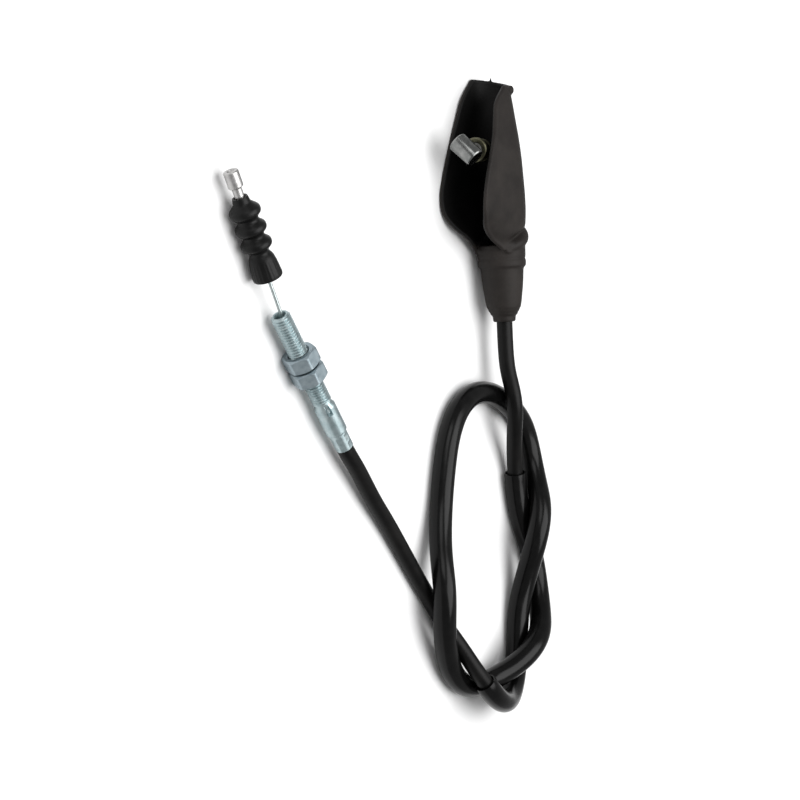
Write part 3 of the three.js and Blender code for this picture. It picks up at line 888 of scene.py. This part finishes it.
@dataclass
class LockNut:
    """One hexagon nut, its corners turned off by a shallow cone on both faces."""

    name: str
    body: str
    from_tip: float
    flats: float = 0.0065
    thickness: float = 0.0065
    face_radius: float = 0.0061
    cone: float = math.tan(math.radians(30.0))
    bore: float = 0.0043
    segments: int = 144

    def rings(self) -> np.ndarray:
        """The nut's rings from its bore, over both faces and back."""
        half = self.thickness / 2
        sixth = math.pi / 3
        angles = ring_angles(self.segments)
        hexagon = self.flats / np.cos(np.mod(angles, sixth) - sixth / 2)
        hexagon = np.minimum(hexagon, self.flats / math.cos(sixth / 2) - 0.00022)
        circle = np.full(self.segments, 1.0)
        fall = np.clip(hexagon - self.face_radius, 0, None) * self.cone
        rows = [(circle * self.bore, circle * -(half - 0.0005)),
                (circle * (self.bore + 0.0005), circle * -half),
                (circle * self.face_radius, circle * -half), (hexagon - 0.00008, fall - half - 0.00002),
                (hexagon, fall - half + 0.0001), (hexagon, circle * 0.0), (hexagon, half - fall - 0.0001),
                (hexagon - 0.00008, half - fall + 0.00002), (circle * self.face_radius, circle * half),
                (circle * (self.bore + 0.0005), circle * half),
                (circle * self.bore, circle * (half - 0.0005))]
        out = np.empty((len(rows), self.segments, 3))
        for i, (reach, y) in enumerate(rows):
            out[i, :, 0] = reach * np.cos(angles)
            out[i, :, 1] = y
            out[i, :, 2] = reach * np.sin(angles)
        return out

    def build(self) -> bpy.types.Object:
        """Makes the nut in its place on the thread."""
        nut = skinned(f"{self.name}_hexagon", self.rings(), Ends.JOINED)
        smooth_shaded(nut, 24.0)
        place = axis_place(ADJUSTER_TIP, ADJUSTER_TURN) @ Matrix.Translation((0.0, -self.from_tip, 0.0))
        placed(nut, place)
        dress(nut, NUT_ZINC.make())
        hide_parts(self.name)
        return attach(nut, self.body)


@dataclass
class CoreWire:
    """A straight bare end of the stranded core."""

    name: str
    node: str
    body: str
    place: Matrix
    low: float
    high: float
    radius: float = 0.00075
    strands: int = 9
    lay: float = 0.0085
    hollow: float = 0.13
    segments: int = 72
    rows_per_lay: int = 24

    def build(self) -> bpy.types.Object:
        """Makes the wire, its outer strands twisted about it."""
        rows = max(int((self.high - self.low) / self.lay * self.rows_per_lay), 8)
        profile = [(self.radius, self.low + (self.high - self.low) * i / rows) for i in range(rows + 1)]

        def lobed(angles: np.ndarray, radius: float, y: float) -> np.ndarray:
            """The strands' round backs with a valley between each two."""
            turn = self.strands * (angles / 2 + y / self.lay * math.pi)
            return radius * (1 - self.hollow * (1 - np.abs(np.cos(turn)) ** 0.7))

        wire = skinned(self.name, turned_rings(profile, self.segments, lobed), Ends.CAPPED)
        smooth_shaded(wire, 60.0)
        placed(wire, self.place)
        dress(wire, CORE_STEEL.make())
        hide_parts(self.node)
        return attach(wire, self.body)


@dataclass
class ReleaseEnd:
    """The bellows and the cylinder nipple that slide with the bare core at the adjuster."""

    shown_wire: float = 0.0155
    wire_in_tip: float = 0.0040
    bellows_length: float = 0.0345
    neck_shown: float = 0.0040
    head_length: float = 0.0069
    ribs: int = 24

    def place(self) -> Matrix:
        """Axes at the adjuster's mouth, with local Y along the core."""
        sideways = along_turn(ADJUSTER_TURN - math.pi / 2)
        return axis_place(ADJUSTER_TIP + sideways * WIRE_LEAN, WIRE_TURN)

    def bellows(self) -> bpy.types.Object:
        """The bellows, from its tight collar down to its open skirt."""
        outer = in_metres([
            (3.0, 0.0, 0.3), (3.2, -0.5, 0.5), (3.5, -2.6, 0.8), (4.6, -3.6, 0.8), (6.2, -5.2, 1.2),
            (6.25, -7.2, 1.2), (4.4, -8.9, 0.5), (4.2, -9.8, 0.4), (4.5, -10.6, 0.6), (6.2, -12.2, 1.2),
            (6.25, -14.2, 1.2), (4.4, -15.8, 0.5), (4.2, -16.7, 0.4), (4.5, -17.4, 0.6), (6.15, -19.0, 1.2),
            (6.2, -20.9, 1.2), (4.1, -22.7, 0.5), (3.9, -23.4, 0.4), (4.1, -24.1, 0.6), (5.0, -25.6, 0.9),
            (5.5, -28.0, 1.0), (6.0, -33.2, 0.6), (5.85, -34.3, 0.3), (5.2, -34.5, 0.2),
        ])
        inner = in_metres([
            (4.6, -34.4, 0.2), (4.7, -33.6, 0.4), (4.8, -31.6, 1.0), (4.4, -27.0, 1.0), (3.0, -23.4, 0.6),
            (5.2, -20.0, 0.8), (3.3, -16.7, 0.4), (5.2, -13.2, 0.8), (3.3, -9.8, 0.4), (5.2, -6.2, 0.8),
            (2.2, -3.4, 0.4), (2.2, -0.3, 0.2), (2.5, 0.0, 0.2),
        ])
        rings = turned_rings([*rounded(outer, 6), *rounded(inner, 3)], 96, self.ribbed)
        body = skinned("bellows_moulding", rings, Ends.JOINED)
        smooth_shaded(body, 50.0)
        placed(body, self.place() @ Matrix.Translation((0.0, self.shown_wire + self.bellows_length, 0.0)))
        dress(body, BELLOWS_RUBBER.make())
        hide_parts("bellows")
        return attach(body, "release_end")

    def ribbed(self, angles: np.ndarray, radius: float, y: float) -> np.ndarray:
        """The bellows' radius, with faint ribs down the skirt's outside."""
        on_skirt = (np.clip((-y - 0.0262) / 0.001, 0, 1) * np.clip((-y - 0.0345) / -0.0008, 0, 1)
                    * (radius > 0.0049))
        return radius - 0.00012 * on_skirt * (1 + np.cos(angles * self.ribs)) / 2

    def nipple(self) -> bpy.types.Object:
        """The cylinder nipple with its drilled end face and thinner neck."""
        outline = in_metres([
            (0.05, -0.75, 0.0), (1.1, -0.75, 0.2), (1.45, -0.25, 0.2), (1.55, 0.0, 0.1), (2.65, 0.0, 0.2),
            (3.0, -0.4, 0.2), (3.0, -6.5, 0.25), (2.6, -6.9, 0.2), (2.05, -6.95, 0.15), (1.95, -7.3, 0.2),
            (1.95, -13.9, 0.0), (0.8, -13.9, 0.0),
        ])
        head = skinned("end_nipple_turning", turned_rings(rounded(outline, 4), 64), Ends.CAPPED)
        smooth_shaded(head, 40.0)
        head_end = self.shown_wire + self.bellows_length + self.neck_shown + self.head_length
        placed(head, self.place() @ Matrix.Translation((0.0, head_end, 0.0)))
        dress(head, PALE_PLATE.make())
        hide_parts("end_nipple")
        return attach(head, "release_end")

    def build(self) -> list[bpy.types.Object]:
        """Makes the three pieces."""
        core = CoreWire("release_core", "lower_wire", "release_end", self.place(), -self.wire_in_tip,
                        self.shown_wire + self.bellows_length - 0.0005)
        return [core.build(), self.bellows(), self.nipple()]


# ---------------------------------------------------------------- lever end


@dataclass
class LeverEnd:
    """The ferrule on the casing's end, its guide, the bare core and the barrel nipple."""

    place: Matrix
    barrel_radius: float = 0.0044
    barrel_length: float = 0.0115
    barrel_roll: float = math.radians(-44.0)
    gap: float = 0.0043
    core_depth: float = 0.0095

    def ferrule(self) -> bpy.types.Object:
        """The turned cap, with its rim and two grooves."""
        outline = in_metres([
            (3.4, -2.0, 0.0), (3.4, -0.2, 0.15), (3.6, 0.0, 0.1), (4.9, 0.0, 0.3), (5.4, -0.5, 0.3),
            (5.4, -2.0, 0.2), (4.4, -2.3, 0.15), (4.4, -3.0, 0.15), (4.9, -3.4, 0.2), (4.9, -4.9, 0.15),
            (4.6, -5.2, 0.15), (4.6, -5.6, 0.15), (4.9, -5.9, 0.15), (4.9, -7.4, 0.3), (4.5, -8.0, 0.2),
            (3.7, -8.0, 0.0), (3.7, -3.0, 0.0), (1.0, -3.0, 0.0), (1.0, -2.0, 0.0),
        ])
        cap = skinned("lever_ferrule_cap", turned_rings(rounded(outline, 4), 72), Ends.JOINED)
        smooth_shaded(cap, 38.0)
        placed(cap, self.place)
        dress(cap, YELLOW_ZINC.make())
        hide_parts("lever_ferrule")
        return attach(cap, "casing")

    def guide(self) -> bpy.types.Object:
        """The guide let into the ferrule's face."""
        outline = in_metres([
            (1.05, -1.7, 0.0), (3.1, -1.7, 0.0), (3.1, -0.2, 0.2), (2.8, 0.0, 0.2), (1.5, -0.05, 0.2),
            (1.05, -0.5, 0.2),
        ])
        disc = skinned("ferrule_guide", turned_rings(rounded(outline, 4), 48), Ends.JOINED)
        smooth_shaded(disc, 40.0)
        placed(disc, self.place)
        dress(disc, GUIDE_PLASTIC.make())
        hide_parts("ferrule_insert")
        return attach(disc, "casing")

    def barrel(self) -> bpy.types.Object:
        """The barrel nipple, lying across the core, with a shallow turned dish in each end."""
        half = self.barrel_length / 2
        radius = self.barrel_radius
        side = [(0.0001, half - 0.0003, 0.0), (0.0022, half - 0.0002, 0.0002), (0.0026, half, 0.0001),
                (radius - 0.0005, half, 0.0002), (radius, half - 0.0005, 0.0002)]
        mirrored = [(r, -y, c) for r, y, c in reversed(side)]
        profile = rounded([*side, *mirrored], 4)
        body = skinned("barrel_nipple_turning", turned_rings(profile, 72), Ends.CAPPED)
        smooth_shaded(body, 38.0)
        across = Matrix.Rotation(self.barrel_roll, 4, "Y") @ Matrix.Rotation(math.pi / 2, 4, "X")
        placed(body, self.place @ Matrix.Translation((0.0, self.gap + radius, 0.0)) @ across)
        dress(body, BRIGHT_PLATE.make())
        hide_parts("barrel_nipple")
        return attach(body, "lever_end")

    def build(self) -> list[bpy.types.Object]:
        """Makes the four pieces."""
        core = CoreWire("lever_core", "lever_wire", "lever_end", self.place, -self.core_depth,
                        self.gap + 0.001)
        return [self.ferrule(), self.guide(), self.barrel(), core.build()]


@dataclass
class LeverBoot:
    """The rubber boot: stepped neck, tapered sleeve, slanting collar bead and a hood open on one side."""

    voxel: float = 0.00042
    wall: float = 0.0018
    arc_steps: int = 28
    flap_steps: int = 9
    rows: int = 96
    cut_slope: float = 0.23
    cut_from: float = 0.071
    cut_to: float = 0.104
    cut_lowest: float = -0.011
    resting: float = 0.0001
    # Distance up the boot, then the lips' x, the spine's x, half height at the spine and at the lips,
    # and middle height; millimetres.
    sections: tuple[tuple[float, float, float, float, float, float], ...] = (
        (30.0, -8.0, 10.4, 9.8, 8.6, 0.0), (33.0, -11.0, 10.4, 10.3, 7.8, 0.0),
        (36.0, -16.0, 10.2, 10.8, 7.0, 0.2), (41.0, -24.0, 9.9, 11.3, 8.2, 0.5),
        (47.0, -29.0, 9.6, 11.8, 10.8, 0.9), (55.0, -30.0, 9.3, 12.0, 12.0, 1.0),
        (63.0, -27.5, 8.6, 12.0, 12.0, 1.0), (71.0, -24.0, 8.0, 11.9, 11.9, 0.9),
        (80.0, -19.5, 7.4, 11.5, 11.5, 0.5), (89.0, -15.0, 7.4, 10.7, 10.4, -0.3),
        (97.0, -10.5, 7.8, 9.9, 9.4, -1.1), (105.0, -2.0, 8.2, 9.0, 9.0, -2.0),
    )

    def half_loop(self, row: np.ndarray, inset: float) -> np.ndarray:
        """One side of a hood section from its upper lip round the spine to its lower lip.

        Args:
            row: The section's six values, in metres.
            inset: How far in from the skin.

        Returns:
            Array of points.
        """
        y, lip, spine, half, lip_half, middle = row
        centre = spine - half
        share = np.linspace(1, 0, self.flap_steps, endpoint=False)
        flap = np.stack([lip * share + centre * (1 - share), half + (lip_half - half) * share**2 - inset],
                        axis=1)
        angles = np.linspace(math.pi / 2, -math.pi / 2, self.arc_steps)
        arc = np.stack([centre + (half - inset) * np.cos(angles), (half - inset) * np.sin(angles)], axis=1)
        far = flap[::-1] * (1, -1)
        scallop = self.torn_edge(y) * np.clip(share[::-1] * 3 - 2, 0, 1)
        far[:, 0] += scallop
        across = np.vstack([flap, arc, far])
        cut = self.cut_slope * np.clip((y - self.cut_from) / (self.cut_to - self.cut_from), 0, 1) ** 2
        height = middle + across[:, 1]
        return np.stack([across[:, 0], y - cut * (height - self.cut_lowest), height], axis=1)

    def torn_edge(self, y: float) -> float:
        """How far the far lip is nibbled back, at a distance up the boot; the real one has a ragged patch."""
        patch = math.exp(-(((y - 0.0385) / 0.0030) ** 2))
        return patch * (0.0006 + 0.0009 * abs(math.sin(y / 0.00075)))

    def rows_of_hood(self) -> np.ndarray:
        """The hood's sections, closely spaced."""
        table = np.array(self.sections) * MM
        wanted = np.linspace(table[0, 0], table[-1, 0], self.rows)
        columns = [smooth_table(table[:, 0], table[:, i], wanted) for i in range(1, table.shape[1])]
        return np.stack([wanted, *columns], axis=1)

    def hood(self) -> bpy.types.Object:
        """The hood's shell."""
        rings = np.array([np.vstack([self.half_loop(row, 0.0), self.half_loop(row, self.wall)[::-1]])
                          for row in self.rows_of_hood()])
        count, around = rings.shape[:2]
        faces = [(i * around + j, i * around + (j + 1) % around, (i + 1) * around + (j + 1) % around,
                  (i + 1) * around + j) for i in range(count - 1) for j in range(around)]
        for start in (0, (count - 1) * around):
            faces += [(start + j, start + around - 1 - j, start + around - 2 - j, start + j + 1)
                      for j in range(around // 2 - 1)]
        return outward(mesh_object("hood", rings.reshape(-1, 3), faces))

    def rim(self) -> bpy.types.Object:
        """The rolled bead round the hood's mouth."""
        rows = self.rows_of_hood()[2:]
        middles = np.array([self.half_loop(row, self.wall / 2) for row in rows])
        upper, lower = middles[:, 0], middles[:, -1]
        line = np.vstack([upper[:-1], middles[-1], lower[::-1][1:]])
        reach = np.gradient(line, axis=0)
        keep = np.linalg.norm(reach, axis=1) > 1e-5
        return skinned("rim", swept_rings(line[keep], lambda s, a: 0.00112 + 0 * s * a, 12), Ends.CAPPED)

    def collar_line(self, round_at: np.ndarray, rise: float, radius: float) -> np.ndarray:
        """A slanting line round the collar, higher at the spine than at the mouth."""
        y = 0.0307 + 0.0078 * (1 + np.cos(round_at)) / 2 + rise
        return np.stack([radius * np.cos(round_at), y, radius * np.sin(round_at)], axis=1)

    def bead(self) -> bpy.types.Object:
        """The thick bead round the collar, fattest at the spine."""
        round_at = np.linspace(-math.pi, math.pi, 120, endpoint=False)
        centres = self.collar_line(round_at, 0.0, 0.0098)
        size = 0.0010 + 0.0017 * ((1 + np.cos(round_at)) / 2) ** 0.8
        spokes = np.stack([np.cos(round_at), 0 * round_at, np.sin(round_at)], axis=1)
        turn = ring_angles(20)[None, :, None]
        across = spokes[:, None] * np.cos(turn) + np.array([0.0, 1.45, 0.0]) * np.sin(turn)
        return skinned("bead", centres[:, None] + size[:, None, None] * across, Ends.JOINED)

    def lower(self) -> bpy.types.Object:
        """The stepped neck, the tapered sleeve and the ringed collar."""
        outline = in_metres([
            (3.8, 0.0, 0.0), (4.6, 0.0, 0.3), (4.9, 0.4, 0.3), (5.1, 2.8, 0.3), (5.9, 3.1, 0.3),
            (6.1, 4.4, 0.2), (6.7, 4.6, 0.3), (6.9, 5.8, 0.2), (7.4, 6.1, 0.3), (7.9, 8.6, 1.0),
            (8.9, 16.0, 2.0), (9.4, 23.0, 0.5), (9.7, 23.6, 0.2), (10.5, 24.2, 0.4), (10.6, 26.6, 0.4),
            (10.2, 27.1, 0.2), (10.2, 27.7, 0.2), (10.5, 28.2, 0.4), (10.6, 33.4, 0.4), (8.9, 33.6, 0.3),
            (8.8, 32.5, 0.3), (7.6, 24.0, 0.8), (6.8, 12.0, 0.8), (3.8, 7.0, 0.5),
        ])
        return skinned("lower", turned_rings(rounded(outline, 4), 96), Ends.JOINED)

    def dab(self, name: str, centre: tuple[float, float, float],
            size: tuple[float, float, float]) -> bpy.types.Object:
        """A small rounded lump of rubber.

        Args:
            name: The lump's name.
            centre: Its middle in the boot's axes, in millimetres.
            size: Its half sizes along the boot's axes, in millimetres.

        Returns:
            The lump.
        """
        tilt = np.linspace(-math.pi / 2 + 0.05, math.pi / 2 - 0.05, 13)
        lump = turned_rings([(math.cos(t), math.sin(t)) for t in tilt], 20)
        return skinned(name, (lump * size + centre) * MM, Ends.CAPPED)

    def flash(self) -> bpy.types.Object:
        """The thin spike of moulding flash left on the hood's end."""
        rings = turned_rings(in_metres([(0.75, -2.0), (0.6, 0.0), (0.42, 1.6), (0.3, 3.0)]), 12)
        return skinned("flash", rings + np.array([6.1, 103.6, -5.2]) * MM, Ends.CAPPED)

    def pressed_groove(self, boot: bpy.types.Object) -> None:
        """Presses the groove between the near flap and the collar's bead, and flattens what rests below."""
        data = boot.data
        points = np.empty(len(data.vertices) * 3)
        data.vertices.foreach_get("co", points)
        points = points.reshape(-1, 3)
        round_at = np.arctan2(points[:, 2], points[:, 0])
        reach = np.hypot(points[:, 0], points[:, 2])
        ridge = 0.0307 + 0.0078 * (1 + np.cos(round_at)) / 2 + 0.0034
        across = (points[:, 1] - ridge) / 0.0015
        along = (round_at - math.radians(100.0)) / math.radians(34.0)
        depth = 0.0024 * np.exp(-(across**2) - along**4) * (reach > 0.0090)
        inward = 1 - depth / np.maximum(reach, 1e-6)
        points[:, 0] *= inward
        points[:, 2] *= inward
        points[:, 2] = np.maximum(points[:, 2], self.resting - BOOT_NECK.z)
        data.vertices.foreach_set("co", points.ravel())
        data.update()

    def marked_painted_shade(self, boot: bpy.types.Object) -> None:
        """Marks how far each point lies on the inside of the hood, where the skin's colour is darkened as
        painted shade.
        """
        data = boot.data
        count = len(data.vertices)
        points, ways = np.empty(count * 3), np.empty(count * 3)
        data.vertices.foreach_get("co", points)
        data.vertices.foreach_get("normal", ways)
        points, ways = points.reshape(-1, 3), ways.reshape(-1, 3)
        table = np.array(self.sections) * MM
        spine, half, middle = (np.interp(points[:, 1], table[:, 0], table[:, i]) for i in (2, 3, 5))
        towards = np.stack([np.minimum(spine - half - points[:, 0], 0.0), middle - points[:, 2]], axis=1)
        towards /= np.maximum(np.linalg.norm(towards, axis=1), 1e-6)[:, None]
        facing = towards[:, 0] * ways[:, 0] + towards[:, 1] * ways[:, 2]
        inside = np.clip(facing * 3 - 0.6, 0, 1) * np.clip((points[:, 1] - 0.0335) / 0.002, 0, 1)
        mark = data.attributes.new(LINING_SHADE_ATTRIBUTE, "FLOAT", "POINT")
        mark.data.foreach_set("value", inside)

    def build(self) -> bpy.types.Object:
        """Makes the boot as one moulding and puts it in its place."""
        lobe = self.dab("lobe", (4.2, 100.3, 5.9), (1.3, 2.0, 1.5))
        boot = joined("lever_boot_moulding",
                      [self.lower(), self.hood(), self.rim(), self.bead(), lobe, self.flash()])
        remesh = boot.modifiers.new("one_moulding", "REMESH")
        remesh.mode = "VOXEL"
        remesh.voxel_size = self.voxel
        ease = boot.modifiers.new("eased", "SMOOTH")
        ease.factor = 0.5
        ease.iterations = 5
        with_modifiers_applied(boot)
        self.pressed_groove(boot)
        # Marks the inside of the hood for painted shade.
        self.marked_painted_shade(boot)
        smooth_shaded(boot, 180.0)
        placed(boot, axis_place(BOOT_NECK, BOOT_TURN))
        dress(boot, BOOT_RUBBER.make())
        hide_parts("lever_boot")
        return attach(boot, "boot")


# ---------------------------------------------------------------- the scene


def main() -> None:
    """Builds the studio and every piece of the cable, in order."""
    logging.basicConfig(level=logging.INFO, format="%(name)s: %(message)s")
    Studio().build()
    route = Route()
    line = route.line()
    log.info("casing length %.1f mm", line_length(line) / MM)
    casing = Casing()
    cover = casing.build(line)
    sleeve = LooseSleeve().build(line)
    Adjuster().build()
    for name, body, from_tip in (("lock_nut_upper", "upper_nut", 0.0215),
                                 ("lock_nut_lower", "lower_nut", 0.0288)):
        LockNut(name, body, from_tip).build()
    for piece in (*ReleaseEnd().build(), *LeverEnd(route.lever_place()).build()):
        log.info("%s has %d faces", piece.name, len(piece.data.polygons))
    boot = LeverBoot().build()
    log.info("%s has %d faces", boot.name, len(boot.data.polygons))


if __name__ == "__main__":
    main()
